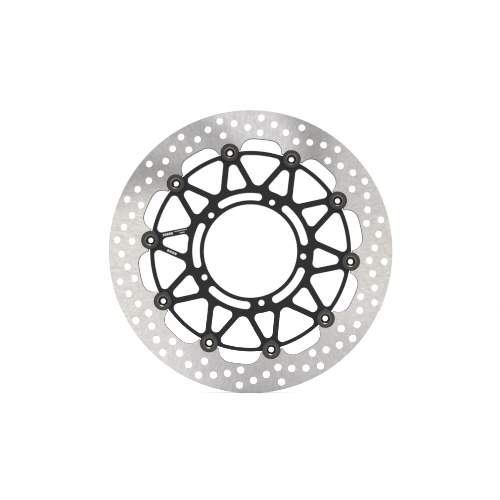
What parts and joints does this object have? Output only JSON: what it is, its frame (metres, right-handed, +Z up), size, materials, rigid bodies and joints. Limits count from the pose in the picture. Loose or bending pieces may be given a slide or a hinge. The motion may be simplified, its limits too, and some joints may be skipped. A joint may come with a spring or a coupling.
{
  "type": "brake disc rotor",
  "caption": "Floating motorcycle brake disc: a drilled, scalloped steel friction band held on a black spoked carrier by bobbins with washers and circlips.",
  "frame": {"origin": "on the disc's axis, halfway through the thickness of the friction band", "axes": "the disc stands upright: +Y runs along its axis from the outboard face, where the bobbin flanges are, to the inboard face that bolts to the hub; +Z is up and +X is to the right as seen from the outboard side"},
  "size_m": [0.32, 0.012, 0.32],
  "materials": {
    "friction_band": "ground stainless steel",
    "carrier_black": "satin black anodised",
    "bobbin_finish": "hard anodised, turned",
    "spring_steel": "plain spring steel"
  },
  "bodies": {
    "carrier": {"carrier": "carrier_black"},
    "friction_band": {"brake_band": "friction_band"},
    "bobbin_set_01": {"bobbin_01": "bobbin_finish", "flat_washer_01": "spring_steel", "wave_washer_01": "spring_steel", "circlip_01": "spring_steel"},
    "bobbin_set_02": {"bobbin_02": "bobbin_finish", "flat_washer_02": "spring_steel", "wave_washer_02": "spring_steel", "circlip_02": "spring_steel"},
    "bobbin_set_03": {"bobbin_03": "bobbin_finish", "flat_washer_03": "spring_steel", "wave_washer_03": "spring_steel", "circlip_03": "spring_steel"},
    "bobbin_set_04": {"bobbin_04": "bobbin_finish", "flat_washer_04": "spring_steel", "wave_washer_04": "spring_steel", "circlip_04": "spring_steel"},
    "bobbin_set_05": {"bobbin_05": "bobbin_finish", "flat_washer_05": "spring_steel", "wave_washer_05": "spring_steel", "circlip_05": "spring_steel"},
    "bobbin_set_06": {"bobbin_06": "bobbin_finish", "flat_washer_06": "spring_steel", "wave_washer_06": "spring_steel", "circlip_06": "spring_steel"},
    "bobbin_set_07": {"bobbin_07": "bobbin_finish", "flat_washer_07": "spring_steel", "wave_washer_07": "spring_steel", "circlip_07": "spring_steel"},
    "bobbin_set_08": {"bobbin_08": "bobbin_finish", "flat_washer_08": "spring_steel", "wave_washer_08": "spring_steel", "circlip_08": "spring_steel"},
    "bobbin_set_09": {"bobbin_09": "bobbin_finish", "flat_washer_09": "spring_steel", "wave_washer_09": "spring_steel", "circlip_09": "spring_steel"},
    "bobbin_set_10": {"bobbin_10": "bobbin_finish", "flat_washer_10": "spring_steel", "wave_washer_10": "spring_steel", "circlip_10": "spring_steel"}
  },
  "joints": [
    {"name": "band_float", "type": "slide", "parent": "carrier", "child": "friction_band", "axis": [0, 1, 0], "range_m": [-0.0002, 0.0002]},
    {"name": "bobbin_turn_01", "type": "hinge", "parent": "carrier", "child": "bobbin_set_01", "pos_m": [0.1131, 0, -0.01215], "axis": [0, 1, 0], "continuous": true},
    {"name": "bobbin_turn_02", "type": "hinge", "parent": "carrier", "child": "bobbin_set_02", "pos_m": [0.09864, 0, 0.05665], "axis": [0, 1, 0], "continuous": true},
    {"name": "bobbin_turn_03", "type": "hinge", "parent": "carrier", "child": "bobbin_set_03", "pos_m": [0.0465, 0, 0.10381], "axis": [0, 1, 0], "continuous": true},
    {"name": "bobbin_turn_04", "type": "hinge", "parent": "carrier", "child": "bobbin_set_04", "pos_m": [-0.0234, 0, 0.11132], "axis": [0, 1, 0], "continuous": true},
    {"name": "bobbin_turn_05", "type": "hinge", "parent": "carrier", "child": "bobbin_set_05", "pos_m": [-0.08436, 0, 0.0763], "axis": [0, 1, 0], "continuous": true},
    {"name": "bobbin_turn_06", "type": "hinge", "parent": "carrier", "child": "bobbin_set_06", "pos_m": [-0.1131, 0, 0.01215], "axis": [0, 1, 0], "continuous": true},
    {"name": "bobbin_turn_07", "type": "hinge", "parent": "carrier", "child": "bobbin_set_07", "pos_m": [-0.09864, 0, -0.05665], "axis": [0, 1, 0], "continuous": true},
    {"name": "bobbin_turn_08", "type": "hinge", "parent": "carrier", "child": "bobbin_set_08", "pos_m": [-0.0465, 0, -0.10381], "axis": [0, 1, 0], "continuous": true},
    {"name": "bobbin_turn_09", "type": "hinge", "parent": "carrier", "child": "bobbin_set_09", "pos_m": [0.0234, 0, -0.11132], "axis": [0, 1, 0], "continuous": true},
    {"name": "bobbin_turn_10", "type": "hinge", "parent": "carrier", "child": "bobbin_set_10", "pos_m": [0.08436, 0, -0.0763], "axis": [0, 1, 0], "continuous": true}
  ]
}
